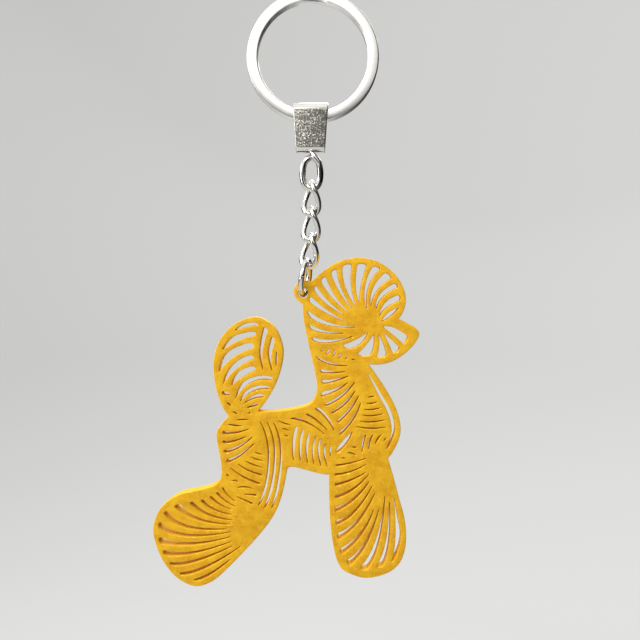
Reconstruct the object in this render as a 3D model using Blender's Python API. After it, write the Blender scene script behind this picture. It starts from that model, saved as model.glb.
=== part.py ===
"""Hanging key charm: split ring, folded strap connector, swivel eye, three twisted chain
links, jump ring and a flat openwork poodle. Metres, +Z up, the poodle's face toward -Y.
The origin is the point of the split ring's inner edge that a hook holds."""

import math

import bmesh
import bpy
from mathutils import Matrix, Vector

MM = 0.001
CIRCLE_SIDES = 24
EYE_WIRE_STEPS = 4
LINK_WIRE_STEPS = 3

# split ring: a flat band wound twice
RING_OUTER_R = 15.0
RING_INNER_R = 12.45
BAND_T = 0.95
COIL_PITCH_Y = 1.05
BAND_EDGE = 0.22
JOG_ANGLE = math.radians(24)
END_GAP_ANGLE = math.radians(3)
COIL_SEGMENTS = 60

# folded strap connector
STRAP_T = 0.7
STRAP_TOP_Z = -22.9
STRAP_BOTTOM_Z = -33.96
STRAP_INNER_DEPTH = 2.6
STRAP_TOP_WIDTH = 8.04
STRAP_BOTTOM_WIDTH = 6.5
STRAP_X = -0.5
STRAP_EDGE = 0.18
TAB_GAP = 0.2
TAB_BEND_R = 0.55
FLOOR_HOLE_R = 0.95
TAB_BEND_STEPS = 4
CROWN_BEND_STEPS = 6

# swivel eye with its neck and rivet head
EYE_X = -0.3
EYE_WIRE_R = 0.72
EYE_HALF_WIDTH = 2.02
EYE_TOP_Z = -35.45
EYE_BOTTOM_Z = -42.38
NECK_R = 0.66
HEAD_R = 1.12
HEAD_T = 0.85
HEAD_LIFT = 0.2
HEAD_RIM_SHARE = 0.6
HEAD_TOP_SHARE = 0.7

# twisted links and the jump ring
LINK_WIRE_R = 0.625
LINK_HALF_WIDTH = 1.8
LINK_LENGTH = 7.34
LINK_TWIST = math.radians(-90)
LINK_LEANS = (math.radians(0.8), math.radians(1.2), math.radians(5.0))
LOOP_POINTS = 32
CHAIN_GAP = 0.12
JUMP_WIRE_R = 0.68
JUMP_TOP = Vector((-1.15, 0, -58.7))
JUMP_BOTTOM = Vector((-2.2, 0, -66.3))
JUMP_TURN = math.radians(-10)
JUMP_CUT = 0.14

# poodle: drawn in millimetres from a corner of its eyelet, extruded through its thickness
CHARM_T = 3.2
CHARM_X = -2.3
CHARM_Z = -65.8
EYELET_HOLE = (0.1, -0.25)
EYELET_HOLE_R = 1.15
SLOT_CORNER_R = 0.25
SLOT_CORNER_LIMIT = 0.45
SLOT_CORNER_PULL = 0.3
EDGE_STEPS = 2

# each run is a smooth edge that starts and ends in a corner
OUTLINE = (
    # crown of the head
    ((2.0, 2.35), (4.0, 4.15), (7.0, 6.3), (10.0, 7.4), (13.1, 7.7), (16.5, 7.05), (19.3, 5.4),
     (21.5, 3.2), (22.9, 0.5), (23.3, -1.8), (22.9, -4.0), (21.7, -6.05)),
    # muzzle
    ((21.7, -6.05), (23.4, -6.9), (25.2, -7.9), (26.3, -9.3), (25.7, -11.0), (23.9, -13.2),
     (20.6, -15.5), (17.8, -16.3), (14.85, -16.3)),
    # chest
    ((14.85, -16.3), (18.7, -21.75), (21.2, -26.5), (22.1, -30.3), (21.85, -32.8), (20.8, -35.3),
     (19.3, -37.5)),
    # front leg
    ((19.3, -37.5), (20.5, -41.7), (21.8, -46.5), (22.9, -50.6), (23.35, -54.5), (23.1, -58.0),
     (21.8, -61.2), (19.0, -63.4), (14.2, -64.45), (9.9, -63.1), (8.2, -61.4), (7.1, -58.0),
     (6.3, -52.5), (6.0, -46.5), (6.0, -41.15)),
    # belly, hind leg, paw, hock and rump
    ((6.0, -41.15), (4.0, -40.95), (0.0, -39.9), (-2.3, -39.4), (-3.3, -39.75), (-3.6, -40.9),
     (-4.6, -45.7), (-6.3, -50.0), (-9.2, -54.1), (-14.2, -59.6), (-18.7, -64.0), (-21.1, -65.6),
     (-23.5, -66.3), (-25.9, -65.8), (-28.9, -63.85), (-31.55, -60.35), (-33.2, -56.3),
     (-33.6, -52.9), (-32.1, -48.9), (-28.0, -45.75), (-22.3, -44.4), (-19.3, -43.2),
     (-18.25, -41.2), (-18.5, -37.5), (-19.3, -33.4), (-19.1, -31.0), (-16.55, -28.05)),
    # tail
    ((-16.55, -28.05), (-18.3, -25.3), (-19.6, -21.2), (-20.1, -17.0), (-19.7, -13.5),
     (-18.3, -10.3), (-15.3, -7.2), (-10.7, -5.6), (-6.8, -7.5), (-4.9, -10.9), (-4.4, -14.6),
     (-5.5, -19.4), (-7.3, -23.2), (-10.0, -26.95)),
    # back and neck
    ((-10.0, -26.95), (-5.3, -26.85), (0.0, -25.95), (2.3, -24.7), (3.25, -22.3), (3.0, -19.0),
     (1.4, -11.9), (0.3, -6.5), (0.05, -2.75)),
    # eyelet
    ((0.05, -2.75), (-1.5, -1.4), (-1.95, 0.2), (-1.3, 1.85), (0.3, 2.6), (2.0, 2.35)),
)

# tapered slots: root corner, side points, tip, side points, other root corner
HEAD_SLOTS = (
    ((2.1, -10.2), (6.4, -10.8), (11.3, -10.05), (6.2, -11.5), (2.5, -11.1)),
    ((1.45, -7.25), (5.0, -8.75), (9.3, -9.3), (4.8, -9.25), (1.85, -8.4)),
    ((1.15, -4.05), (5.6, -6.8), (11.8, -8.0), (5.5, -7.5), (1.6, -5.6)),
    ((1.8, -1.0), (5.4, -4.05), (9.5, -6.6), (4.9, -4.5), (1.5, -2.2)),
    ((3.0, 1.4), (5.6, -1.9), (9.2, -5.1), (4.6, -1.95), (2.6, 0.8)),
    ((5.2, 3.5), (7.1, -0.6), (10.1, -4.4), (6.3, -0.75), (4.15, 2.6)),
    ((7.7, 5.2), (8.7, 0.9), (11.05, -3.7), (8.0, 0.7), (6.4, 4.4)),
    ((11.15, 6.3), (11.0, 1.4), (12.1, -3.2), (9.6, 1.4), (9.05, 5.85)),
    ((14.6, 6.15), (13.3, 1.6), (12.9, -2.2), (12.0, 1.4), (12.45, 6.35)),
    ((17.7, 5.3), (15.0, 1.4), (14.45, -3.8), (14.1, 1.2), (15.9, 5.8)),
    ((20.3, 3.2), (17.0, 0.5), (15.5, -3.1), (15.95, 0.9), (18.8, 4.45)),
    ((21.75, 1.1), (18.3, -1.0), (16.7, -3.8), (17.45, -0.6), (20.85, 1.95)),
    ((22.1, -2.0), (19.2, -3.4), (17.35, -5.5), (18.8, -2.3), (22.0, -0.65)),
)
MUZZLE_SLOTS = (
    ((23.0, -11.9), (20.6, -9.75), (18.35, -7.9), (20.6, -8.1), (23.9, -10.0)),
    ((20.4, -14.0), (19.5, -11.7), (18.5, -9.5), (20.4, -11.1), (22.1, -12.8)),
    ((16.7, -14.8), (17.3, -12.2), (17.25, -9.7), (18.4, -12.0), (19.1, -14.5)),
    ((12.3, -14.15), (14.3, -12.05), (16.05, -9.7), (16.15, -12.3), (15.3, -14.5)),
    ((8.9, -12.05), (11.8, -10.9), (14.7, -9.3), (13.1, -11.8), (10.5, -13.0)),
)
NECK_SLOTS = (
    ((3.1, -14.45), (6.6, -16.05), (10.2, -16.65), (6.4, -16.45), (3.4, -15.1)),
    ((4.0, -17.3), (6.6, -17.9), (9.6, -18.0), (6.7, -18.35), (4.2, -18.25)),
    ((4.4, -19.85), (7.0, -19.7), (10.3, -19.0), (7.2, -20.3), (4.5, -20.8)),
    ((4.5, -22.4), (7.3, -21.85), (10.2, -20.5), (7.5, -22.5), (4.2, -23.7)),
    ((5.0, -25.2), (8.4, -23.4), (11.8, -20.4), (8.9, -23.8), (5.3, -25.8)),
    ((6.8, -26.8), (9.4, -24.95), (11.9, -22.3), (9.7, -25.4), (6.6, -27.5)),
    ((7.9, -28.85), (10.4, -26.5), (12.7, -23.4), (10.8, -26.85), (8.0, -29.65)),
    ((8.5, -31.4), (11.1, -28.7), (13.1, -25.1), (11.5, -28.95), (8.4, -32.5)),
    ((7.5, -35.8), (9.2, -33.5), (11.25, -31.6), (9.95, -34.4), (7.8, -36.4)),
)
CHEST_SLOTS = (
    ((19.15, -35.4), (20.6, -32.5), (20.9, -30.1), (20.0, -27.0), (18.0, -23.5), (14.9, -18.5),
     (17.3, -23.4), (19.2, -27.0), (20.05, -30.1), (19.9, -32.5), (18.9, -35.2)),
    ((14.4, -32.35), (13.95, -33.9), (13.45, -36.1), (13.45, -33.9), (14.1, -32.3)),
    ((16.0, -32.2), (15.35, -33.8), (14.95, -35.5), (14.95, -33.8), (15.7, -32.3)),
)
BACK_SLOTS = (
    ((3.5, -26.0), (5.6, -28.0), (7.2, -31.3), (5.1, -28.4), (2.75, -26.4)),
    ((1.4, -27.4), (3.3, -28.8), (5.6, -31.1), (3.1, -29.1), (0.7, -27.65)),
    ((-1.2, -28.3), (1.7, -29.55), (4.9, -32.0), (1.6, -29.9), (-2.8, -28.6)),
)
BELLY_SLOTS = (
    ((-1.0, -30.3), (-1.7, -34.0), (-2.0, -38.0), (-2.25, -34.0), (-1.5, -30.5)),
    ((0.45, -31.0), (-0.25, -34.4), (-0.45, -38.1), (-0.7, -34.4), (0.1, -31.1)),
    ((1.85, -31.6), (1.2, -34.9), (1.2, -38.6), (0.8, -34.9), (1.5, -31.8)),
    ((4.35, -33.1), (3.85, -36.0), (4.2, -39.25), (3.5, -36.0), (4.0, -33.3)),
)
RUMP_SLOTS = (
    ((-18.0, -31.3), (-15.1, -31.5), (-12.1, -30.9), (-15.1, -31.95), (-17.9, -32.1)),
    ((-18.0, -33.45), (-15.7, -33.45), (-12.7, -32.6), (-15.6, -33.85), (-17.9, -34.15)),
    ((-17.7, -35.6), (-14.8, -34.85), (-11.25, -32.7), (-14.6, -35.4), (-17.6, -36.3)),
    ((-17.1, -37.7), (-14.4, -36.7), (-10.9, -34.2), (-14.1, -37.15), (-17.0, -38.6)),
    ((-9.4, -43.0), (-13.0, -41.65), (-16.1, -39.75), (-13.3, -41.9), (-9.7, -43.5)),
    ((-9.1, -41.0), (-11.9, -40.15), (-14.4, -38.8), (-12.1, -40.45), (-9.2, -41.5)),
    ((-10.35, -45.55), (-11.5, -45.5), (-13.0, -45.6), (-11.5, -45.85), (-10.4, -46.05)),
    ((-11.2, -47.5), (-13.0, -46.75), (-14.8, -46.15), (-13.2, -47.0), (-11.4, -47.95)),
)
HIND_LEG_SLOTS = (
    ((-9.65, -48.0), (-8.05, -43.9), (-7.4, -38.0), (-7.9, -33.2), (-9.5, -29.2),
     (-8.2, -33.2), (-7.75, -38.0), (-8.5, -43.9), (-10.1, -48.3)),
    ((-8.1, -48.2), (-6.65, -43.9), (-6.0, -38.0), (-6.4, -33.4), (-7.9, -29.4),
     (-6.7, -33.4), (-6.4, -38.0), (-7.15, -43.9), (-8.75, -48.8)),
    ((-6.7, -48.4), (-5.4, -44.3), (-4.65, -38.0), (-5.0, -33.4), (-6.45, -29.5),
     (-5.3, -33.4), (-5.0, -38.0), (-5.85, -44.3), (-7.1, -48.9)),
)
PAW_SLOTS = (
    ((-17.8, -44.0), (-16.9, -45.5), (-15.2, -47.1), (-17.1, -45.7), (-18.1, -44.15)),
    ((-19.0, -45.15), (-17.3, -46.9), (-15.1, -48.3), (-17.6, -47.1), (-19.5, -45.3)),
    ((-20.5, -46.0), (-18.5, -47.7), (-16.0, -49.0), (-18.8, -48.0), (-21.0, -46.3)),
    ((-22.4, -46.7), (-19.9, -48.75), (-15.8, -50.2), (-20.2, -49.15), (-22.95, -47.1)),
    ((-24.6, -47.25), (-21.2, -49.85), (-15.7, -51.4), (-21.5, -50.35), (-25.5, -47.55)),
    ((-27.5, -47.8), (-23.3, -50.9), (-16.1, -52.35), (-23.6, -51.5), (-29.0, -48.35)),
    ((-30.3, -49.3), (-26.0, -52.5), (-17.2, -53.4), (-26.2, -53.2), (-31.4, -49.9)),
    ((-32.2, -51.7), (-26.0, -54.5), (-16.0, -54.05), (-26.0, -55.15), (-32.4, -53.2)),
    ((-32.3, -55.2), (-25.0, -56.4), (-16.3, -55.2), (-25.0, -57.05), (-32.1, -56.7)),
    ((-31.4, -58.1), (-25.0, -58.5), (-16.0, -56.25), (-25.0, -59.1), (-31.2, -59.3)),
    ((-30.0, -60.9), (-24.0, -60.2), (-15.9, -57.3), (-24.0, -60.9), (-29.4, -61.7)),
    ((-27.8, -63.3), (-21.5, -61.5), (-13.9, -57.3), (-21.4, -62.1), (-26.9, -63.9)),
    ((-24.7, -64.8), (-20.8, -63.2), (-16.3, -60.3), (-20.4, -63.6), (-23.6, -65.1)),
)
TAIL_SLOTS = (
    ((-10.1, -7.1), (-12.6, -7.1), (-15.1, -8.6), (-12.4, -7.9), (-10.1, -7.65)),
    ((-10.5, -9.1), (-12.6, -9.15), (-15.8, -10.2), (-18.0, -13.0), (-15.5, -11.5),
     (-13.0, -10.5), (-10.7, -10.0)),
    ((-11.2, -11.5), (-13.7, -12.0), (-17.4, -14.1), (-18.8, -18.0), (-16.6, -15.5),
     (-14.0, -13.85), (-11.1, -12.8)),
    ((-11.2, -14.25), (-13.9, -15.1), (-16.6, -17.5), (-17.9, -20.7), (-16.2, -18.5),
     (-13.6, -16.4), (-11.1, -15.3)),
    ((-11.1, -16.7), (-13.5, -17.5), (-15.1, -18.8), (-16.0, -21.1), (-14.5, -19.9),
     (-12.6, -18.7), (-10.5, -17.7)),
    ((-8.75, -7.85), (-9.5, -11.4), (-9.7, -14.1), (-8.9, -17.6), (-9.1, -14.1),
     (-8.65, -11.4), (-7.8, -8.5)),
    ((-6.85, -9.95), (-7.5, -12.2), (-7.75, -14.4), (-6.9, -17.7), (-7.15, -14.7),
     (-6.7, -12.6), (-6.25, -11.1)),
    ((-6.7, -19.3), (-9.75, -18.95), (-13.2, -20.3), (-15.1, -24.0), (-13.0, -21.4),
     (-10.0, -19.95), (-6.9, -20.1)),
    ((-7.5, -21.4), (-10.0, -21.15), (-12.5, -22.2), (-14.0, -24.6), (-12.2, -23.0),
     (-10.0, -22.1), (-7.6, -22.0)),
    ((-8.7, -23.25), (-10.7, -23.25), (-13.0, -25.0), (-10.8, -24.05), (-8.85, -23.9)),
    ((-10.0, -25.2), (-11.0, -25.3), (-12.4, -26.1), (-11.0, -25.85), (-10.1, -25.6)),
    ((-18.1, -22.4), (-17.3, -22.5), (-16.3, -23.1), (-17.1, -23.4), (-18.0, -23.1)),
)
FRONT_LEG_SLOTS = (
    ((7.5, -38.85), (10.6, -38.45), (14.3, -37.5), (10.7, -38.75), (7.55, -39.3)),
    ((7.3, -40.9), (10.8, -40.35), (14.3, -38.9), (10.9, -40.65), (7.35, -41.4)),
    ((7.3, -43.1), (10.8, -42.2), (14.2, -40.7), (10.9, -42.65), (7.4, -43.8)),
    ((7.35, -45.8), (11.3, -44.2), (15.05, -41.0), (11.4, -44.75), (7.4, -46.6)),
    ((7.35, -48.6), (11.5, -46.3), (15.05, -42.7), (11.8, -46.9), (7.45, -49.7)),
    ((7.55, -51.4), (11.6, -49.2), (15.7, -43.8), (12.0, -49.6), (7.65, -52.7)),
    ((7.9, -54.4), (12.2, -51.4), (16.3, -45.4), (12.6, -52.1), (8.1, -55.9)),
    ((8.5, -57.8), (12.75, -54.5), (16.05, -49.1), (13.2, -55.1), (8.8, -59.3)),
    ((9.9, -60.5), (13.9, -56.6), (17.2, -49.1), (14.4, -57.1), (10.6, -61.8)),
    ((12.8, -62.3), (16.5, -56.1), (18.6, -46.1), (17.3, -56.6), (14.6, -62.7)),
    ((16.6, -61.9), (18.8, -56.3), (19.65, -47.4), (19.6, -56.1), (18.2, -61.9)),
    ((19.9, -60.9), (20.85, -57.0), (20.95, -51.5), (20.7, -46.7), (21.6, -51.5),
     (22.2, -55.6), (20.9, -60.0)),
)
SLOT_GROUPS = (HEAD_SLOTS, MUZZLE_SLOTS, NECK_SLOTS, CHEST_SLOTS, BACK_SLOTS, BELLY_SLOTS,
               RUMP_SLOTS, HIND_LEG_SLOTS, PAW_SLOTS, TAIL_SLOTS, FRONT_LEG_SLOTS)

# fine slits: end, middle, end and the width at the middle
SLITS = (
    # between crown and muzzle
    ((17.9, -6.65), (19.75, -5.0), (21.65, -3.65), 1.0),
    # under the jaw
    ((4.3, -13.0), (4.35, -13.2), (4.35, -13.45), 0.35),
    ((6.1, -13.0), (5.85, -13.5), (5.5, -14.1), 0.55),
    ((7.5, -13.05), (7.25, -13.8), (6.9, -14.55), 0.4),
    ((8.8, -13.9), (8.55, -14.4), (8.25, -14.95), 0.45),
    ((9.95, -14.6), (9.9, -14.85), (9.8, -15.15), 0.4),
    ((11.1, -15.15), (11.4, -15.25), (11.8, -15.25), 0.25),
    # chest rungs
    ((14.85, -23.75), (15.5, -23.65), (16.25, -23.5), 0.28),
    ((14.5, -25.1), (15.7, -25.1), (16.85, -24.8), 0.28),
    ((14.0, -26.5), (15.8, -26.5), (17.65, -26.1), 0.3),
    ((13.55, -27.75), (15.8, -27.9), (18.2, -27.45), 0.3),
    ((13.0, -29.15), (15.8, -29.3), (18.7, -28.8), 0.32),
    ((12.15, -30.35), (15.6, -30.75), (18.9, -30.45), 0.34),
    ((17.85, -32.1), (16.95, -33.1), (16.45, -34.25), 0.35),
    ((18.8, -32.95), (18.6, -33.25), (18.45, -33.6), 0.28),
    # elbow
    ((11.2, -34.9), (11.65, -35.0), (12.15, -35.15), 0.28),
    ((10.2, -36.2), (11.1, -36.4), (12.05, -36.75), 0.32),
    ((8.85, -37.4), (9.25, -37.45), (9.7, -37.5), 0.25),
    # flank
    ((-5.2, -29.15), (-3.95, -29.65), (-2.7, -29.95), 0.3),
    ((-4.55, -30.8), (-3.8, -30.95), (-3.0, -31.25), 0.28),
    ((-4.0, -32.3), (-3.65, -32.4), (-3.25, -32.55), 0.25),
    ((3.0, -32.6), (2.4, -35.7), (2.6, -38.9), 0.28),
    ((5.3, -34.3), (4.95, -36.5), (5.65, -39.4), 0.28),
    ((6.4, -34.9), (6.3, -35.9), (6.3, -37.0), 0.32),
    # rump and thigh
    ((-14.9, -28.9), (-13.6, -28.8), (-12.2, -28.75), 0.28),
    ((-16.7, -29.85), (-15.1, -30.1), (-13.6, -30.2), 0.36),
    ((-12.8, -38.1), (-10.9, -39.0), (-8.9, -39.6), 0.32),
    ((-11.6, -37.2), (-10.25, -37.75), (-8.85, -38.05), 0.3),
    ((-10.6, -36.15), (-9.8, -36.45), (-8.95, -36.65), 0.28),
    # hock
    ((-17.2, -41.2), (-16.85, -41.3), (-16.55, -41.6), 0.35),
    ((-15.95, -42.6), (-15.25, -42.5), (-14.55, -42.75), 0.28),
    ((-14.6, -44.1), (-12.95, -43.95), (-11.25, -44.35), 0.36),
    # tail
    ((-5.85, -13.5), (-5.85, -15.1), (-5.95, -16.7), 0.32),
    ((-17.0, -24.95), (-16.55, -25.25), (-16.15, -25.75), 0.4),
    ((-15.6, -27.0), (-15.2, -27.2), (-14.65, -27.55), 0.32),
    ((-12.2, -27.4), (-11.95, -27.3), (-11.7, -27.15), 0.25),
)


def clear_scene():
    for item in list(bpy.data.objects):
        bpy.data.objects.remove(item, do_unlink=True)


def make_material(name, colour, metallic, roughness):
    material = bpy.data.materials.new(name)
    material.use_nodes = True
    shader = material.node_tree.nodes["Principled BSDF"]
    shader.inputs["Base Color"].default_value = (*colour, 1)
    shader.inputs["Metallic"].default_value = metallic
    shader.inputs["Roughness"].default_value = roughness
    return material


def place(name, data, origin, material):
    piece = bpy.data.objects.new(name, data)
    piece.location = Vector(origin) * MM
    data.materials.append(material)
    bpy.context.scene.collection.objects.link(piece)
    return piece


def skinned_mesh(name, rings, closed):
    """Join equal rings of points into one body, with end caps unless the rings form a loop."""
    count = len(rings[0])
    verts = [Vector(point) * MM for ring in rings for point in ring]
    faces = []
    for i in range(len(rings) if closed else len(rings) - 1):
        here = i * count
        after = (i + 1) % len(rings) * count
        for j in range(count):
            k = (j + 1) % count
            faces.append((here + j, here + k, after + k, after + j))
    if not closed:
        faces.append(tuple(reversed(range(count))))
        faces.append(tuple(range(len(verts) - count, len(verts))))
    mesh = bpy.data.meshes.new(name)
    mesh.from_pydata(verts, [], faces)
    solid = bmesh.new()
    solid.from_mesh(mesh)
    bmesh.ops.recalc_face_normals(solid, faces=solid.faces)
    solid.to_mesh(mesh)
    solid.free()
    mesh.shade_smooth()
    return mesh


def wire_curve(name, points, radius, closed, steps):
    curve = bpy.data.curves.new(name, "CURVE")
    curve.dimensions = "3D"
    curve.bevel_depth = radius * MM
    curve.bevel_resolution = steps
    curve.use_fill_caps = not closed
    spline = curve.splines.new("POLY")
    spline.points.add(len(points) - 1)
    for knot, point in zip(spline.points, points):
        knot.co = (*(Vector(point) * MM), 1)
    spline.use_cyclic_u = closed
    return curve


def rounded_box_section(half_a, half_b, edge):
    """Corners of a rectangle with each corner cut by a chamfer."""
    section = []
    for sign_a, sign_b in ((1, 1), (-1, 1), (-1, -1), (1, -1)):
        pair = [(sign_a * half_a, sign_b * (half_b - edge)), (sign_a * (half_a - edge), sign_b * half_b)]
        section.extend(pair if sign_a * sign_b > 0 else reversed(pair))
    return section


def build_split_ring(material):
    mean_r = (RING_OUTER_R + RING_INNER_R) / 2
    start = JOG_ANGLE / 2 + END_GAP_ANGLE
    end = 4 * math.pi - start
    section = rounded_box_section((RING_OUTER_R - RING_INNER_R) / 2, BAND_T / 2, BAND_EDGE)
    rings = []
    steps = 2 * COIL_SEGMENTS
    for i in range(steps + 1):
        angle = start + (end - start) * i / steps
        jog = min(max((angle - 2 * math.pi) / JOG_ANGLE + 0.5, 0), 1)
        depth = COIL_PITCH_Y * (jog * jog * (3 - 2 * jog) - 0.5)
        ring = []
        for radial, across in section:
            reach = mean_r + radial
            ring.append((reach * math.sin(angle), depth + across, reach * math.cos(angle)))
        rings.append(ring)
    mesh = skinned_mesh("split_ring", rings, False)
    return place("split_ring", mesh, (0, 0, -RING_INNER_R), material)


def strap_path():
    """Middle line of the strap in (y, z) with the outward normal, from one tab end to the other."""
    half_depth = (STRAP_INNER_DEPTH + STRAP_T) / 2
    floor_z = STRAP_BOTTOM_Z + STRAP_T / 2
    crown_z = STRAP_TOP_Z - STRAP_T / 2 - half_depth
    side = [(-TAB_GAP / 2, floor_z, 0, -1)]
    for i in range(TAB_BEND_STEPS + 1):
        turn = math.pi / 2 * i / TAB_BEND_STEPS
        side.append((-half_depth + TAB_BEND_R - TAB_BEND_R * math.sin(turn),
                     floor_z + TAB_BEND_R - TAB_BEND_R * math.cos(turn),
                     -math.sin(turn), -math.cos(turn)))
    for i in range(CROWN_BEND_STEPS + 1):
        turn = math.pi / 2 * i / CROWN_BEND_STEPS
        side.append((-half_depth * math.cos(turn), crown_z + half_depth * math.sin(turn),
                     -math.cos(turn), math.sin(turn)))
    return side + [(-y, z, -normal_y, normal_z) for y, z, normal_y, normal_z in reversed(side[:-1])]


def build_connector(material):
    """A strap folded over the ring, its two bottom tabs meeting round the swivel's neck."""
    rings = []
    for y, z, normal_y, normal_z in strap_path():
        rise = (z - STRAP_BOTTOM_Z) / (STRAP_TOP_Z - STRAP_BOTTOM_Z)
        half_width = (STRAP_BOTTOM_WIDTH + (STRAP_TOP_WIDTH - STRAP_BOTTOM_WIDTH) * rise) / 2
        section = rounded_box_section(half_width, STRAP_T / 2, STRAP_EDGE)
        rings.append([(STRAP_X + across, y + normal_y * out, z + normal_z * out + RING_INNER_R)
                      for across, out in section])
    mesh = skinned_mesh("ring_connector", rings, False)
    connector = place("ring_connector", mesh, (0, 0, -RING_INNER_R), material)

    drill_mesh = skinned_mesh("floor_drill", circle_stack(FLOOR_HOLE_R, (-2 * STRAP_T, 2 * STRAP_T)), False)
    drill = place("floor_drill", drill_mesh, (EYE_X, 0, STRAP_BOTTOM_Z + STRAP_T / 2), material)
    drill.display_type = "WIRE"
    drill.hide_render = True
    hole = connector.modifiers.new("floor_hole", "BOOLEAN")
    hole.object = drill
    hole.operation = "DIFFERENCE"
    hole.solver = "EXACT"
    return connector


def circle_stack(radius, heights):
    """Rings of a plain upright cylinder."""
    turns = [math.tau * i / CIRCLE_SIDES for i in range(CIRCLE_SIDES)]
    return [[(radius * math.cos(turn), radius * math.sin(turn), z) for turn in turns] for z in heights]


def stadium(half_width, half_length, count):
    """Points round a loop with straight sides and round ends, as (width, height) pairs."""
    straight = half_length - half_width
    points = []
    for i in range(count):
        turn = math.tau * (i + 0.5) / count
        lift = straight if math.cos(turn) > 0 else -straight
        points.append((half_width * math.sin(turn), half_width * math.cos(turn) + lift))
    return points


def build_swivel_eye(material):
    centre_z = (EYE_TOP_Z + EYE_BOTTOM_Z) / 2
    half_length = (EYE_TOP_Z - EYE_BOTTOM_Z) / 2
    loop = [(w, 0, h + centre_z - EYE_TOP_Z) for w, h in stadium(EYE_HALF_WIDTH, half_length, LOOP_POINTS)]
    eye = place("swivel_eye", wire_curve("eye_loop", loop, EYE_WIRE_R, True, EYE_WIRE_STEPS),
                (EYE_X, 0, EYE_TOP_Z), material)

    seat = STRAP_BOTTOM_Z + STRAP_T + HEAD_LIFT - EYE_TOP_Z
    profile = ((NECK_R, 0), (NECK_R, seat), (HEAD_R, seat), (HEAD_R, seat + HEAD_RIM_SHARE * HEAD_T),
               (HEAD_TOP_SHARE * HEAD_R, seat + HEAD_T))
    rings = [circle_stack(radius, (height,))[0] for radius, height in profile]
    neck = place("swivel_neck", skinned_mesh("swivel_neck", rings, False), (EYE_X, 0, EYE_TOP_Z), material)
    return eye, neck


def join_neck(eye, neck):
    """Turn the eye's wire into a mesh and fuse the neck and rivet head to it."""
    depsgraph = bpy.context.evaluated_depsgraph_get()
    mesh = bpy.data.meshes.new_from_object(eye.evaluated_get(depsgraph))
    mesh.shade_smooth()
    name = eye.name
    location = eye.location.copy()
    bpy.data.objects.remove(eye, do_unlink=True)
    solid = bpy.data.objects.new(name, mesh)
    solid.location = location
    bpy.context.scene.collection.objects.link(solid)
    union = solid.modifiers.new("neck", "BOOLEAN")
    union.object = neck
    union.operation = "UNION"
    union.solver = "EXACT"
    neck.display_type = "WIRE"
    neck.hide_render = True
    return solid


def build_chain(material):
    """Each link is turned a quarter along its length and hangs from the wire above it."""
    pivot = Vector((EYE_X, 0, EYE_BOTTOM_Z))
    wire_above = EYE_WIRE_R
    for number, lean in enumerate(LINK_LEANS, 1):
        tilt = Matrix.Rotation(lean, 3, "Y")
        top = wire_above + CHAIN_GAP + LINK_WIRE_R
        points = []
        for width, height in stadium(LINK_HALF_WIDTH, LINK_LENGTH / 2, LOOP_POINTS):
            turn = LINK_TWIST * (height / LINK_LENGTH + 0.5)
            points.append(tilt @ Vector((width * math.cos(turn), width * math.sin(turn),
                                         height + top - LINK_LENGTH / 2)))
        name = f"chain_link_{number}"
        place(name, wire_curve(name, points, LINK_WIRE_R, True, LINK_WIRE_STEPS), pivot, material)
        pivot = pivot + tilt @ Vector((0, 0, top - LINK_LENGTH))
        wire_above = LINK_WIRE_R
    return pivot


def build_jump_ring(pivot, material):
    """A round wire ring with its cut at the front."""
    centre = (JUMP_TOP + JUMP_BOTTOM) / 2
    radius = (JUMP_TOP - JUMP_BOTTOM).length / 2
    lean = math.atan2(JUMP_TOP.x - JUMP_BOTTOM.x, JUMP_TOP.z - JUMP_BOTTOM.z)
    turn = Matrix.Rotation(lean, 3, "Y") @ Matrix.Rotation(JUMP_TURN, 3, "Z")
    cut = JUMP_CUT / radius / 2
    points = []
    for i in range(LOOP_POINTS + 1):
        angle = math.pi + cut + (math.tau - 2 * cut) * i / LOOP_POINTS
        points.append(centre + turn @ Vector((0, radius * math.cos(angle), radius * math.sin(angle))) - pivot)
    wire = wire_curve("jump_ring", points, JUMP_WIRE_R, False, LINK_WIRE_STEPS)
    place("jump_ring", wire, pivot, material)


def smooth_run(points):
    """Even steps along a smooth curve through the points, without the last point."""
    before = 3 * points[0] - 3 * points[1] + points[2]
    after = 3 * points[-1] - 3 * points[-2] + points[-3]
    knots = [before, *points, after]
    run = []
    for a, b, c, d in zip(knots, knots[1:], knots[2:], knots[3:]):
        for i in range(EDGE_STEPS):
            t = i / EDGE_STEPS
            run.append(0.5 * (2 * b + (c - a) * t + (2 * a - 5 * b + 4 * c - d) * t ** 2
                              + (3 * b - a - 3 * c + d) * t ** 3))
    return run


def slot_loop(points):
    """Closed edge of a tapered slot: sharp at its tip, rounded at its two root corners."""
    points = [Vector(point) for point in points]
    middle = len(points) // 2
    far_side = smooth_run(points[:middle + 1])
    near_side = smooth_run(points[middle:])
    base = points[0] - points[-1]
    reach = min(SLOT_CORNER_R, SLOT_CORNER_LIMIT * base.length)
    inset = base.normalized() * reach
    pull = SLOT_CORNER_PULL * reach
    loop = [points[-1] + inset, points[0] - inset, points[0] - SLOT_CORNER_PULL * inset]
    loop.append(points[0] + pull * (far_side[1] - points[0]).normalized())
    loop += far_side[1:] + near_side
    loop.append(points[-1] + pull * (near_side[-1] - points[-1]).normalized())
    loop.append(points[-1] + SLOT_CORNER_PULL * inset)
    return loop


def slit_loop(first, middle, last, width):
    """Closed edge of a narrow leaf-shaped slit."""
    first = Vector(first)
    middle = Vector(middle)
    last = Vector(last)
    side = (last - first).orthogonal().normalized() * width / 2
    return smooth_run([first, middle + side, last]) + smooth_run([last, middle - side, first])


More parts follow.
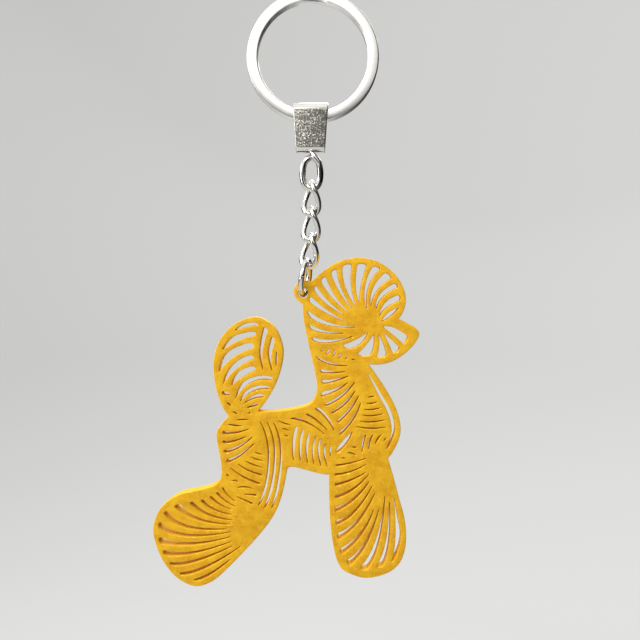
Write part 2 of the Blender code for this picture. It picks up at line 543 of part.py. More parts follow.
def build_poodle(material):
    curve = bpy.data.curves.new("poodle_charm", "CURVE")
    curve.dimensions = "2D"
    curve.fill_mode = "BOTH"
    curve.extrude = CHARM_T / 2 * MM
    outline = []
    for run in OUTLINE:
        outline += smooth_run([Vector(point) for point in run])
    hole = Vector(EYELET_HOLE)
    eyelet = [hole + Vector((x, y)) for x, y, _ in circle_stack(EYELET_HOLE_R, (0,))[0]]
    slots = [slot_loop(slot) for group in SLOT_GROUPS for slot in group]
    slits = [slit_loop(*slit) for slit in SLITS]
    for loop in [outline, eyelet, *slots, *slits]:
        spline = curve.splines.new("POLY")
        spline.points.add(len(loop) - 1)
        spline.use_cyclic_u = True
        for knot, point in zip(spline.points, loop):
            knot.co = (*((point - hole) * MM), 0, 1)
    charm = place("poodle_charm", curve, (CHARM_X + hole.x, 0, CHARM_Z + hole.y), material)
    charm.rotation_euler = (math.pi / 2, 0, 0)
    return charm


def main():
    clear_scene()
    satin_nickel = make_material("satin_nickel", (0.72, 0.71, 0.69), 1.0, 0.3)
    grained_nickel = make_material("grained_nickel", (0.62, 0.61, 0.59), 1.0, 0.4)
    bright_nickel = make_material("bright_nickel", (0.8, 0.79, 0.76), 1.0, 0.15)
    gold_print = make_material("gold_print", (0.9, 0.55, 0.04), 0.0, 0.4)
    build_split_ring(satin_nickel)
    build_connector(grained_nickel)
    join_neck(*build_swivel_eye(bright_nickel))
    build_jump_ring(build_chain(bright_nickel), bright_nickel)
    build_poodle(gold_print)


main()
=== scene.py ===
"""Looks of the hanging poodle key charm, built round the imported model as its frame.
Lengths in each section are in millimetres; pieces are scaled to metres as they are placed."""

import math

import bmesh
import bpy
from mathutils import Matrix, Vector


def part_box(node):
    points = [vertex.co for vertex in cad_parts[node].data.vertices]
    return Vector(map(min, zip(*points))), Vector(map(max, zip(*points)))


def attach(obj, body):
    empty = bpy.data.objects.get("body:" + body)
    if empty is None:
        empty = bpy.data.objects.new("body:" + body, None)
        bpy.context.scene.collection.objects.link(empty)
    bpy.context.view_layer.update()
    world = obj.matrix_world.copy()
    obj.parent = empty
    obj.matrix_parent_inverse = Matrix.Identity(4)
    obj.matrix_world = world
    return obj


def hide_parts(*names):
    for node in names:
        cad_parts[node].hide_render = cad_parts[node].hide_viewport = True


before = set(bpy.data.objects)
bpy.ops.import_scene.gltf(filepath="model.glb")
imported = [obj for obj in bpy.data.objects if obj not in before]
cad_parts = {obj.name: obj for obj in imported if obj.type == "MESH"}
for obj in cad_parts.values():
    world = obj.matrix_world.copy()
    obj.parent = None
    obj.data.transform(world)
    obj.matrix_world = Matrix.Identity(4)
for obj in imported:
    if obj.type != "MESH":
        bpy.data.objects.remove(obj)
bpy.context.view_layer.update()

# Split ring. One flat band of spring steel wound twice and nickel plated to a satin finish. Its
# long edges are rolled round, and the band steps from the front coil to the back one at the top.
MM = 0.001
RING_OUTER_R = 15.0
RING_BAND = (2.55, 0.95)
RING_COIL_PITCH = 1.05
RING_EDGE = 0.34
RING_JOG = math.radians(24)
RING_END_GAP = math.radians(3)
RING_STEPS = 300
SATIN_NICKEL = (0.93, 0.91, 0.87)
SATIN_ROUGHNESS = (0.16, 0.36)
SATIN_GRAIN = 0.14
SATIN_GRAIN_DEPTH = 0.004
CLOUD_SCALE = 260.0
CLOUD_SHADE = 0.86


def add_node(owner, kind, **settings):
    """Add one shader node to a material or world, with its properties and its inputs' values."""
    node = owner.node_tree.nodes.new(kind)
    for name, value in settings.items():
        socket = name.replace("_", " ")
        if socket in node.inputs:
            node.inputs[socket].default_value = value
        else:
            setattr(node, name, value)
    return node


def two_tone(material, low, dark, high, bright):
    """A ramp from a dark colour, up to the low value, to a bright one, from the high value on."""
    ramp = add_node(material, "ShaderNodeValToRGB")
    ends = ramp.color_ramp.elements
    ends[0].position = low
    ends[0].color = (*dark, 1)
    ends[1].position = high
    ends[1].color = (*bright, 1)
    return ramp


def start_material(name, **sockets):
    material = bpy.data.materials.new(name)
    material.use_nodes = True
    shader = material.node_tree.nodes["Principled BSDF"]
    for socket, value in sockets.items():
        shader.inputs[socket.replace("_", " ")].default_value = value
    return material, shader, material.node_tree.links.new


def nickel(name, colour, rough, grain_size, grain_depth):
    """Plated metal: fine grain, uneven gloss and a faint cloudiness in its colour."""
    material, shader, link = start_material(name, Metallic=1.0)
    place = add_node(material, "ShaderNodeTexCoord").outputs["Object"]
    cloud = add_node(material, "ShaderNodeTexNoise", Scale=CLOUD_SCALE, Detail=3.0)
    grain = add_node(material, "ShaderNodeTexNoise", Scale=1 / (grain_size * MM), Detail=2.0)
    link(place, cloud.inputs["Vector"])
    link(place, grain.inputs["Vector"])
    tint = two_tone(material, 0.3, [CLOUD_SHADE * part for part in colour], 0.7, colour)
    link(cloud.outputs["Fac"], tint.inputs["Fac"])
    link(tint.outputs["Color"], shader.inputs["Base Color"])
    gloss = add_node(material, "ShaderNodeMapRange", To_Min=rough[0], To_Max=rough[1])
    link(grain.outputs["Fac"], gloss.inputs["Value"])
    link(gloss.outputs["Result"], shader.inputs["Roughness"])
    bump = add_node(material, "ShaderNodeBump", Strength=1.0, Distance=grain_depth * MM)
    link(grain.outputs["Fac"], bump.inputs["Height"])
    link(bump.outputs["Normal"], shader.inputs["Normal"])
    return material


def fit(piece, material, body, node):
    """Give a finished piece its material and its body, and hide the imported part it stands in for.
    """
    piece.data.materials.clear()
    piece.data.materials.append(material)
    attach(piece, body)
    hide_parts(node)
    return piece


def finished_mesh(shape):
    """A mesh of the object as it looks with its modifiers or its bevel."""
    depsgraph = bpy.context.evaluated_depsgraph_get()
    return bpy.data.meshes.new_from_object(shape.evaluated_get(depsgraph))


def mesh_piece(name, bm, crease):
    """Turn the bmesh into an object in metres, sharp where it turns by more than crease degrees."""
    bmesh.ops.remove_doubles(bm, verts=bm.verts, dist=0.0005)
    bmesh.ops.recalc_face_normals(bm, faces=bm.faces)
    bmesh.ops.scale(bm, vec=(MM, MM, MM), verts=bm.verts)
    mesh = bpy.data.meshes.new(name)
    bm.to_mesh(mesh)
    bm.free()
    mesh.shade_smooth()
    mesh.set_sharp_from_angle(angle=math.radians(crease))
    piece = bpy.data.objects.new(name, mesh)
    bpy.context.scene.collection.objects.link(piece)
    return piece


def band_section(bm, width, thickness, edge):
    """One face across a flat band, wide in X and thick in Y, its corners rounded."""
    section = bmesh.ops.create_grid(bm, x_segments=1, y_segments=1, size=0.5)
    bmesh.ops.scale(bm, vec=(width, thickness, 1), verts=section["verts"])
    bmesh.ops.bevel(bm, geom=section["verts"], affect="VERTICES", offset=edge, offset_type="OFFSET",
                    segments=4, profile=0.5, material=-1)
    return bm.verts[:] + bm.edges[:] + bm.faces[:]


def build_split_ring(top_z):
    bm = bmesh.new()
    end = band_section(bm, *RING_BAND, RING_EDGE)
    start = RING_JOG / 2 + RING_END_GAP
    turn = (4 * math.pi - 2 * start) / RING_STEPS
    centre_z = top_z - RING_OUTER_R
    bmesh.ops.translate(bm, vec=(RING_OUTER_R - RING_BAND[0] / 2, -RING_COIL_PITCH / 2, 0),
                        verts=bm.verts)
    bmesh.ops.rotate(bm, matrix=Matrix.Rotation(start - math.pi / 2, 3, "Y"), verts=bm.verts)
    depth = 0.0
    for step in range(RING_STEPS):
        angle = start + turn * (step + 1)
        jog = min(max((angle - 2 * math.pi) / RING_JOG + 0.5, 0), 1)
        lower = RING_COIL_PITCH * jog * jog * (3 - 2 * jog)
        end = bmesh.ops.spin(bm, geom=end, cent=(0, 0, 0), axis=(0, 1, 0), angle=turn, steps=1,
                             dvec=(0, lower - depth, 0), use_merge=False,
                             use_normal_flip=False, use_duplicate=False)["geom_last"]
        depth = lower
    bmesh.ops.translate(bm, vec=(0, 0, centre_z), verts=bm.verts)
    return mesh_piece("split_ring_band", bm, 40)


ring_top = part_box("split_ring")[1].z / MM
satin_nickel = nickel("satin_nickel_plate", SATIN_NICKEL, SATIN_ROUGHNESS, SATIN_GRAIN,
                      SATIN_GRAIN_DEPTH)
fit(build_split_ring(ring_top), satin_nickel, "ring", "split_ring")

# Connector. A strap of sheet steel folded over the ring, with its two tabs turned in underneath
# round the swivel's neck. The flats are matt and grained, and the folds and edges are polished.
STRAP_T = 0.7
STRAP_TOP_WIDTH = 8.04
STRAP_BOTTOM_WIDTH = 6.5
STRAP_EDGE = 0.2
TAB_GAP = 0.2
TAB_BEND_R = 0.55
FLOOR_HOLE_R = 0.95
# painted shade: the colour of the pits in the grain, much darker than the metal itself
PIT_PAINTED_SHADE = (0.13, 0.125, 0.112)
GRAIN_BRIGHT = (0.80, 0.78, 0.71)
GRAIN_SCALE = 2600.0
GRAIN_BUMP = 0.1
POLISHED_EDGE = (0.80, 0.78, 0.74)
POLISHED_ROUGHNESS = 0.13
GRAINED_ROUGHNESS = 0.42
FLAT_FROM = 0.93
FLAT_TO = 0.995


def run_strap(bm, end, length, direction):
    """Lengthen the strap straight on from its open end."""
    grown = bmesh.ops.extrude_face_region(bm, geom=end)["geom"]
    corners = [item for item in grown if isinstance(item, bmesh.types.BMVert)]
    bmesh.ops.translate(bm, vec=Vector(direction) * length, verts=corners)
    return [item for item in grown if isinstance(item, bmesh.types.BMFace)]


def bend_strap(bm, end, centre, angle, steps):
    """Fold the strap about an axis across it."""
    last = bmesh.ops.spin(bm, geom=end, cent=centre, axis=(1, 0, 0), angle=angle, steps=steps,
                          dvec=(0, 0, 0), use_merge=False, use_normal_flip=False,
                          use_duplicate=False)["geom_last"]
    return [item for item in last if isinstance(item, bmesh.types.BMFace)]


def build_connector(low, high, neck_x):
    bm = bmesh.new()
    band_section(bm, STRAP_TOP_WIDTH, STRAP_T, STRAP_EDGE)
    bmesh.ops.rotate(bm, matrix=Matrix.Rotation(math.pi / 2, 3, "X"), verts=bm.verts)
    half_depth = (high.y - low.y - STRAP_T) / 2
    floor_z = low.z + STRAP_T / 2
    crown_z = high.z - STRAP_T / 2 - half_depth
    bend_z = floor_z + TAB_BEND_R
    tab = half_depth - TAB_BEND_R - TAB_GAP / 2
    bmesh.ops.translate(bm, vec=(0, -TAB_GAP / 2, floor_z), verts=bm.verts)
    end = run_strap(bm, bm.faces[:] + bm.edges[:] + bm.verts[:], tab, (0, -1, 0))
    end = bend_strap(bm, end, (0, TAB_BEND_R - half_depth, bend_z), -math.pi / 2, 8)
    end = run_strap(bm, end, crown_z - bend_z, (0, 0, 1))
    end = bend_strap(bm, end, (0, 0, crown_z), -math.pi, 32)
    end = run_strap(bm, end, crown_z - bend_z, (0, 0, -1))
    end = bend_strap(bm, end, (0, half_depth - TAB_BEND_R, bend_z), -math.pi / 2, 8)
    run_strap(bm, end, tab, (0, -1, 0))
    for vert in bm.verts:
        rise = (vert.co.z - low.z) / (high.z - low.z)
        vert.co.x *= 1 - (1 - STRAP_BOTTOM_WIDTH / STRAP_TOP_WIDTH) * (1 - rise)
    bmesh.ops.translate(bm, vec=((low.x + high.x) / 2, 0, 0), verts=bm.verts)
    strap = mesh_piece("connector_strap", bm, 40)

    drill_bm = bmesh.new()
    bmesh.ops.create_cone(drill_bm, cap_ends=True, segments=48, radius1=FLOOR_HOLE_R,
                          radius2=FLOOR_HOLE_R, depth=4 * STRAP_T)
    bmesh.ops.translate(drill_bm, vec=(neck_x, 0, floor_z), verts=drill_bm.verts)
    drill = mesh_piece("neck_drill", drill_bm, 40)
    hole = strap.modifiers.new("neck_hole", "BOOLEAN")
    hole.object = drill
    hole.solver = "EXACT"
    drilled = finished_mesh(strap)
    strap.modifiers.clear()
    strap.data = drilled
    bpy.data.objects.remove(drill)
    return strap


def grained_sheet():
    """Plated sheet: blasted grain with painted shade in its pits on the flats, polished wherever
    the sheet turns.
    """
    material, shader, link = start_material("grained_nickel_plate", Metallic=1.0)
    coords = add_node(material, "ShaderNodeTexCoord")
    facing = add_node(material, "ShaderNodeSeparateXYZ")
    link(coords.outputs["Normal"], facing.inputs["Vector"])
    flat = add_node(material, "ShaderNodeMath", operation="ABSOLUTE")
    link(facing.outputs["Y"], flat.inputs[0])
    grained = add_node(material, "ShaderNodeMapRange", From_Min=FLAT_FROM, From_Max=FLAT_TO)
    link(flat.outputs[0], grained.inputs["Value"])
    pits = add_node(material, "ShaderNodeTexNoise", Scale=GRAIN_SCALE, Detail=3.0, Roughness=0.7)
    link(coords.outputs["Object"], pits.inputs["Vector"])
    # painted shade: the flats are darkened in the pits of the grain, where the same noise sets the
    # bump lowest
    painted_pit_shade = two_tone(material, 0.50, PIT_PAINTED_SHADE, 0.68, GRAIN_BRIGHT)
    link(pits.outputs["Fac"], painted_pit_shade.inputs["Fac"])
    colour = add_node(material, "ShaderNodeMix", data_type="RGBA", A=(*POLISHED_EDGE, 1))
    link(grained.outputs["Result"], colour.inputs["Factor"])
    link(painted_pit_shade.outputs["Color"], colour.inputs["B"])
    link(colour.outputs["Result"], shader.inputs["Base Color"])
    rough = add_node(material, "ShaderNodeMapRange", To_Min=POLISHED_ROUGHNESS,
                     To_Max=GRAINED_ROUGHNESS)
    link(grained.outputs["Result"], rough.inputs["Value"])
    link(rough.outputs["Result"], shader.inputs["Roughness"])
    depth = add_node(material, "ShaderNodeMath", operation="MULTIPLY")
    link(pits.outputs["Fac"], depth.inputs[0])
    link(grained.outputs["Result"], depth.inputs[1])
    bump = add_node(material, "ShaderNodeBump", Strength=1.0, Distance=GRAIN_BUMP * MM)
    link(depth.outputs[0], bump.inputs["Height"])
    link(bump.outputs["Normal"], shader.inputs["Normal"])
    return material


strap_low, strap_high = (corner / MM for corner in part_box("ring_connector"))
eye_low, eye_high = (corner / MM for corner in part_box("swivel_eye"))
neck_x = (eye_low.x + eye_high.x) / 2
connector_strap = build_connector(strap_low, strap_high, neck_x)
fit(connector_strap, grained_sheet(), "connector", "ring_connector")

# Swivel eye. One length of plated wire bent to an oval. One end crosses in front of the other at
# the top, and both run up through the connector's floor to a rivet head that lets the eye turn.
EYE_WIRE_R = 0.72
EYE_HALF_WIDTH = 2.02
EYE_ROUNDNESS = 2.3
EYE_DROP = 1.35
EYE_FRONT_START = 0.13
EYE_BACK_END = 0.04
EYE_CROSS = 0.38
EYE_CROSS_LENGTH = 0.2
EYE_NECK_THINNING = 0.6
EYE_END_LIFT = 1.1
EYE_LOOP_POINTS = 48
RIVET_R = 1.12
RIVET_T = 0.85
RIVET_EDGE = 0.24
CURVE_STEPS = 6
BRIGHT_NICKEL = (0.83, 0.81, 0.77)
BRIGHT_ROUGHNESS = (0.05, 0.14)
BRIGHT_GRAIN = 0.3
BRIGHT_GRAIN_DEPTH = 0.003


def smooth_run(points, steps):
    """Even steps along a smooth curve through the points, without the last point."""
    before = 3 * points[0] - 3 * points[1] + points[2]
    after = 3 * points[-1] - 3 * points[-2] + points[-3]
    knots = [before, *points, after]
    run = []
    for a, b, c, d in zip(knots, knots[1:], knots[2:], knots[3:]):
        for i in range(steps):
            t = i / steps
            run.append(0.5 * (2 * b + (c - a) * t + (2 * a - 5 * b + 4 * c - d) * t ** 2
                              + (3 * b - a - 3 * c + d) * t ** 3))
    return run


def wire_piece(name, points, radius, closed, thinning=None):
    """Round wire along the points, with its radius scaled at each point where thinning is given."""
    curve = bpy.data.curves.new(name, "CURVE")
    curve.dimensions = "3D"
    curve.bevel_depth = radius * MM
    curve.bevel_resolution = 7
    curve.use_fill_caps = not closed
    spline = curve.splines.new("POLY")
    spline.points.add(len(points) - 1)
    for index, (knot, point) in enumerate(zip(spline.points, points)):
        knot.co = (*(point * MM), 1)
        knot.radius = thinning[index] if thinning else 1.0
    spline.use_cyclic_u = closed
    shape = bpy.data.objects.new(name + "_route", curve)
    bpy.context.scene.collection.objects.link(shape)
    bm = bmesh.new()
    bm.from_mesh(finished_mesh(shape))
    bpy.data.objects.remove(shape)
    bmesh.ops.scale(bm, vec=(1 / MM, 1 / MM, 1 / MM), verts=bm.verts)
    return mesh_piece(name, bm, 50)


def oval_point(half_width, half_length, roundness, turn):
    """A point of an oval as (width, height), from its top; higher roundness makes fuller sides."""
    across = math.sin(turn)
    along = math.cos(turn)
    return (half_width * math.copysign(abs(across) ** (2 / roundness), across),
            half_length * math.copysign(abs(along) ** (2 / roundness), along))


def build_eye_wire(x, floor_z):
    top_z = floor_z - EYE_DROP
    bottom_z = eye_low.z + EYE_WIRE_R
    centre_z = (top_z + bottom_z) / 2
    half_length = (top_z - bottom_z) / 2
    knots = [Vector((x, -EYE_CROSS, floor_z + EYE_END_LIFT)), Vector((x, -EYE_CROSS, floor_z))]
    for index in range(EYE_LOOP_POINTS + 1):
        share = index / EYE_LOOP_POINTS
        turn = math.tau * (EYE_FRONT_START + (1 + EYE_BACK_END - EYE_FRONT_START) * share)
        width, height = oval_point(EYE_HALF_WIDTH, half_length, EYE_ROUNDNESS, turn)
        front = max(0, 1 - share / EYE_CROSS_LENGTH)
        behind = max(0, 1 - (1 - share) / EYE_CROSS_LENGTH)
        knots.append(Vector((x + width, EYE_CROSS * (behind ** 2 - front ** 2), centre_z + height)))
    knots += [Vector((x, EYE_CROSS, floor_z)), Vector((x, EYE_CROSS, floor_z + EYE_END_LIFT))]
    route = smooth_run(knots, CURVE_STEPS) + [knots[-1]]
    thinning = []
    for point in route:
        near = min(max((point.z - top_z) / EYE_DROP, 0), 1)
        thinning.append(1 - (1 - EYE_NECK_THINNING) * near * near * (3 - 2 * near))
    return wire_piece("swivel_eye_wire", route, EYE_WIRE_R, False, thinning)


def build_rivet(x, top_z):
    bm = bmesh.new()
    bmesh.ops.create_cone(bm, cap_ends=True, segments=48, radius1=RIVET_R, radius2=RIVET_R,
                          depth=RIVET_T)
    rim = [edge for edge in bm.edges if all(vert.co.z > 0 for vert in edge.verts)]
    bmesh.ops.bevel(bm, geom=rim, affect="EDGES", offset=RIVET_EDGE, offset_type="OFFSET",
                    segments=4, profile=0.5, material=-1)
    bmesh.ops.translate(bm, vec=(x, 0, top_z - RIVET_T / 2), verts=bm.verts)
    return mesh_piece("swivel_rivet_head", bm, 40)


bright_nickel = nickel("bright_nickel_plate", BRIGHT_NICKEL, BRIGHT_ROUGHNESS, BRIGHT_GRAIN,
                       BRIGHT_GRAIN_DEPTH)
eye_wire = build_eye_wire(neck_x, strap_low.z)
fit(eye_wire, bright_nickel, "eye", "swivel_eye")
fit(build_rivet(neck_x, eye_high.z), bright_nickel, "eye", "swivel_eye")

# Chain. Three links of round plated wire, each a long loop twisted a quarter turn so that the
# chain lies flat, closed with a butt joint and threaded through the next.
LINK_WIRE_R = 0.625
LINK_HALF_WIDTH = 2.0
LINK_ROUNDNESS = 2.35
LINK_LENGTH = 7.34
LINK_TWIST = math.radians(-90)
LINK_LEANS = (math.radians(0.8), math.radians(1.2), math.radians(5.0))
LINK_POINTS = 96
CHAIN_GAP = 0.12

pivot = Vector((neck_x, 0, eye_low.z + EYE_WIRE_R))
wire_above = EYE_WIRE_R
for number, lean in enumerate(LINK_LEANS, 1):
    tilt = Matrix.Rotation(lean, 3, "Y")
    link_top = wire_above + CHAIN_GAP + LINK_WIRE_R
    link_route = []
    for index in range(LINK_POINTS):
        turn = math.tau * (index + 0.5) / LINK_POINTS
        width, height = oval_point(LINK_HALF_WIDTH, LINK_LENGTH / 2, LINK_ROUNDNESS, turn)
        twist = LINK_TWIST * (height / LINK_LENGTH + 0.5)
        link_route.append(pivot + tilt @ Vector((width * math.cos(twist), width * math.sin(twist),
                                                 height + link_top - LINK_LENGTH / 2)))
    link_piece = wire_piece(f"twisted_link_{number}", link_route, LINK_WIRE_R, True)
    fit(link_piece, bright_nickel, f"link_{number}", f"chain_link_{number}")
    pivot = pivot + tilt @ Vector((0, 0, link_top - LINK_LENGTH))
    wire_above = LINK_WIRE_R

# Jump ring. A round ring of plated wire, cut through at the front and closed by hand through
# the last link and the poodle's eyelet.
JUMP_WIRE_R = 0.68
JUMP_TOP = Vector((-1.15, 0, -58.7))
JUMP_BOTTOM = Vector((-2.2, 0, -66.3))
JUMP_TURN = math.radians(-10)
JUMP_CUT = 0.14
JUMP_POINTS = 96

jump_centre = (JUMP_TOP + JUMP_BOTTOM) / 2
jump_radius = (JUMP_TOP - JUMP_BOTTOM).length / 2
jump_lean = math.atan2(JUMP_TOP.x - JUMP_BOTTOM.x, JUMP_TOP.z - JUMP_BOTTOM.z)
jump_turn = Matrix.Rotation(jump_lean, 3, "Y") @ Matrix.Rotation(JUMP_TURN, 3, "Z")
jump_cut = JUMP_CUT / jump_radius / 2
jump_route = []
for index in range(JUMP_POINTS + 1):
    turn = math.pi + jump_cut + (math.tau - 2 * jump_cut) * index / JUMP_POINTS
    around = Vector((0, jump_radius * math.cos(turn), jump_radius * math.sin(turn)))
    jump_route.append(jump_centre + jump_turn @ around)
jump_piece = wire_piece("jump_ring_wire", jump_route, JUMP_WIRE_R, False)
fit(jump_piece, bright_nickel, "jump", "jump_ring")

# Poodle. A flat plate printed in glittering golden plastic, one piece with its eyelet. Fans of
# tapered slots cut it through, and the printed edges are slightly round. The drawing below is in
# millimetres from a corner of the eyelet.
CHARM_X = -2.3
CHARM_Z = -65.8
CHARM_EDGE = 0.18
EYELET_HOLE = (0.1, -0.25)
EYELET_HOLE_R = 1.15
EYELET_POINTS = 40
SLOT_CORNER_R = 0.52
SLOT_CORNER_LIMIT = 0.47
SLOT_ROOT_BOW = 0.09
SLOT_TIP = 0.08
SLOT_CORNER_CLEAR = 1.1
SLIT_TIP = 0.05
EDGE_STEPS = 4
GOLD_TOP = (0.90, 0.50, 0.016)
GOLD_DEEP = (0.74, 0.36, 0.008)
# painted light: the walls take a brighter, more orange gold than the faces, standing in for light
# reaching into the slots and bouncing between their walls
GOLD_WALL_PAINTED_LIGHT = (0.98, 0.60, 0.03)
FLAKE_COLOUR = (1.0, 0.66, 0.05)
FLAKE_SCALE = 4200.0
FLAKE_PICK = (0.9, 0.96)
FLAKE_METALLIC = (0.08, 0.3)
FLAKE_ROUGHNESS = (0.5, 0.22)
MOTTLE_SCALE = 420.0
PRINT_GRAIN_SCALE = 5200.0
LAYER = 0.2
WAVE_SCALE = math.tau / (20 * LAYER * MM)

# each run is a smooth edge that starts and ends in a corner
OUTLINE = (
    # crown of the head
    ((2.0, 2.35), (4.0, 4.15), (7.0, 6.3), (10.0, 7.4), (13.1, 7.7), (16.5, 7.05), (19.3, 5.4),
     (21.5, 3.2), (22.9, 0.5), (23.3, -1.8), (22.9, -4.0), (21.7, -6.05)),
    # muzzle
    ((21.7, -6.05), (23.4, -6.9), (25.2, -7.9), (26.3, -9.3), (25.7, -11.0), (23.9, -13.2),
     (20.6, -15.5), (17.8, -16.3), (14.85, -16.3)),
    # chest
    ((14.85, -16.3), (18.7, -21.75), (21.2, -26.5), (22.1, -30.3), (21.85, -32.8), (20.8, -35.3),
     (19.3, -37.5)),
    # front leg
    ((19.3, -37.5), (20.5, -41.7), (21.8, -46.5), (22.9, -50.6), (23.35, -54.5), (23.1, -58.0),
     (21.8, -61.2), (19.0, -63.4), (14.2, -64.45), (9.9, -63.1), (8.2, -61.4), (7.1, -58.0),
     (6.3, -52.5), (6.0, -46.5), (6.0, -41.15)),
    # belly, hind leg, paw, hock and rump
    ((6.0, -41.15), (4.0, -40.95), (0.0, -39.9), (-2.3, -39.4), (-3.3, -39.75), (-3.6, -40.9),
     (-4.6, -45.7), (-6.3, -50.0), (-9.2, -54.1), (-14.2, -59.6), (-18.7, -64.0), (-21.1, -65.6),
     (-23.5, -66.3), (-25.9, -65.8), (-28.9, -63.85), (-31.55, -60.35), (-33.2, -56.3),
     (-33.6, -52.9), (-32.1, -48.9), (-28.0, -45.75), (-22.3, -44.4), (-19.3, -43.2),
     (-18.25, -41.2), (-18.5, -37.5), (-19.3, -33.4), (-19.1, -31.0), (-16.55, -28.05)),
    # tail
    ((-16.55, -28.05), (-18.3, -25.3), (-19.6, -21.2), (-20.1, -17.0), (-19.7, -13.5),
     (-18.3, -10.3), (-15.3, -7.2), (-10.7, -5.6), (-6.8, -7.5), (-4.9, -10.9), (-4.4, -14.6),
     (-5.5, -19.4), (-7.3, -23.2), (-10.0, -26.95)),
    # back and neck
    ((-10.0, -26.95), (-5.3, -26.85), (0.0, -25.95), (2.3, -24.7), (3.25, -22.3), (3.0, -19.0),
     (1.4, -11.9), (0.3, -6.5), (0.05, -2.75)),
    # eyelet
    ((0.05, -2.75), (-1.5, -1.4), (-1.95, 0.2), (-1.3, 1.85), (0.3, 2.6), (2.0, 2.35)),
)

# tapered slots: root corner, side points, tip, side points, other root corner
HEAD_SLOTS = (
    ((2.1, -10.2), (6.4, -10.8), (11.3, -10.05), (6.2, -11.5), (2.5, -11.1)),
    ((1.45, -7.25), (5.0, -8.75), (9.3, -9.3), (4.8, -9.25), (1.85, -8.4)),
    ((1.15, -4.05), (5.6, -6.8), (11.8, -8.0), (5.5, -7.5), (1.6, -5.6)),
    ((1.8, -1.0), (5.4, -4.05), (9.5, -6.6), (4.9, -4.5), (1.5, -2.2)),
    ((3.0, 1.4), (5.6, -1.9), (9.2, -5.1), (4.6, -1.95), (2.6, 0.8)),
    ((5.2, 3.5), (7.1, -0.6), (10.1, -4.4), (6.3, -0.75), (4.15, 2.6)),
    ((7.7, 5.2), (8.7, 0.9), (11.05, -3.7), (8.0, 0.7), (6.4, 4.4)),
    ((11.15, 6.3), (11.0, 1.4), (12.1, -3.2), (9.6, 1.4), (9.05, 5.85)),
    ((14.6, 6.15), (13.3, 1.6), (12.9, -2.2), (12.0, 1.4), (12.45, 6.35)),
    ((17.7, 5.3), (15.0, 1.4), (14.45, -3.8), (14.1, 1.2), (15.9, 5.8)),
    ((20.3, 3.2), (17.0, 0.5), (15.5, -3.1), (15.95, 0.9), (18.8, 4.45)),
    ((21.75, 1.1), (18.3, -1.0), (16.7, -3.8), (17.45, -0.6), (20.85, 1.95)),
    ((22.1, -2.0), (19.2, -3.4), (17.35, -5.5), (18.8, -2.3), (22.0, -0.65)),
)
MUZZLE_SLOTS = (
    ((23.0, -11.9), (20.6, -9.75), (18.35, -7.9), (20.6, -8.1), (23.9, -10.0)),
    ((20.4, -14.0), (19.5, -11.7), (18.5, -9.5), (20.4, -11.1), (22.1, -12.8)),
    ((16.7, -14.8), (17.3, -12.2), (17.25, -9.7), (18.4, -12.0), (19.1, -14.5)),
    ((12.3, -14.15), (14.3, -12.05), (16.05, -9.7), (16.15, -12.3), (15.3, -14.5)),
    ((8.9, -12.05), (11.8, -10.9), (14.7, -9.3), (13.1, -11.8), (10.5, -13.0)),
)
NECK_SLOTS = (
    ((3.1, -14.45), (6.6, -16.05), (10.2, -16.65), (6.4, -16.45), (3.4, -15.1)),
    ((4.0, -17.3), (6.6, -17.9), (9.6, -18.0), (6.7, -18.35), (4.2, -18.25)),
    ((4.4, -19.85), (7.0, -19.7), (10.3, -19.0), (7.2, -20.3), (4.5, -20.8)),
    ((4.5, -22.4), (7.3, -21.85), (10.2, -20.5), (7.5, -22.5), (4.2, -23.7)),
    ((5.0, -25.2), (8.4, -23.4), (11.8, -20.4), (8.9, -23.8), (5.3, -25.8)),
    ((6.8, -26.8), (9.4, -24.95), (11.9, -22.3), (9.7, -25.4), (6.6, -27.5)),
    ((7.9, -28.85), (10.4, -26.5), (12.7, -23.4), (10.8, -26.85), (8.0, -29.65)),
    ((8.5, -31.4), (11.1, -28.7), (13.1, -25.1), (11.5, -28.95), (8.4, -32.5)),
    ((7.5, -35.8), (9.2, -33.5), (11.25, -31.6), (9.95, -34.4), (7.8, -36.4)),
)
CHEST_SLOTS = (
    ((19.15, -35.4), (20.6, -32.5), (20.9, -30.1), (20.0, -27.0), (18.0, -23.5), (14.9, -18.5),
     (17.3, -23.4), (19.2, -27.0), (20.05, -30.1), (19.9, -32.5), (18.9, -35.2)),
    ((14.4, -32.35), (13.95, -33.9), (13.45, -36.1), (13.45, -33.9), (14.1, -32.3)),
    ((16.0, -32.2), (15.35, -33.8), (14.95, -35.5), (14.95, -33.8), (15.7, -32.3)),
)
BACK_SLOTS = (
    ((3.5, -26.0), (5.6, -28.0), (7.2, -31.3), (5.1, -28.4), (2.75, -26.4)),
    ((1.4, -27.4), (3.3, -28.8), (5.6, -31.1), (3.1, -29.1), (0.7, -27.65)),
    ((-1.2, -28.3), (1.7, -29.55), (4.9, -32.0), (1.6, -29.9), (-2.8, -28.6)),
)
BELLY_SLOTS = (
    ((-1.0, -30.3), (-1.7, -34.0), (-2.0, -38.0), (-2.25, -34.0), (-1.5, -30.5)),
    ((0.45, -31.0), (-0.25, -34.4), (-0.45, -38.1), (-0.7, -34.4), (0.1, -31.1)),
    ((1.85, -31.6), (1.2, -34.9), (1.2, -38.6), (0.8, -34.9), (1.5, -31.8)),
    ((4.35, -33.1), (3.85, -36.0), (4.2, -39.25), (3.5, -36.0), (4.0, -33.3)),
)
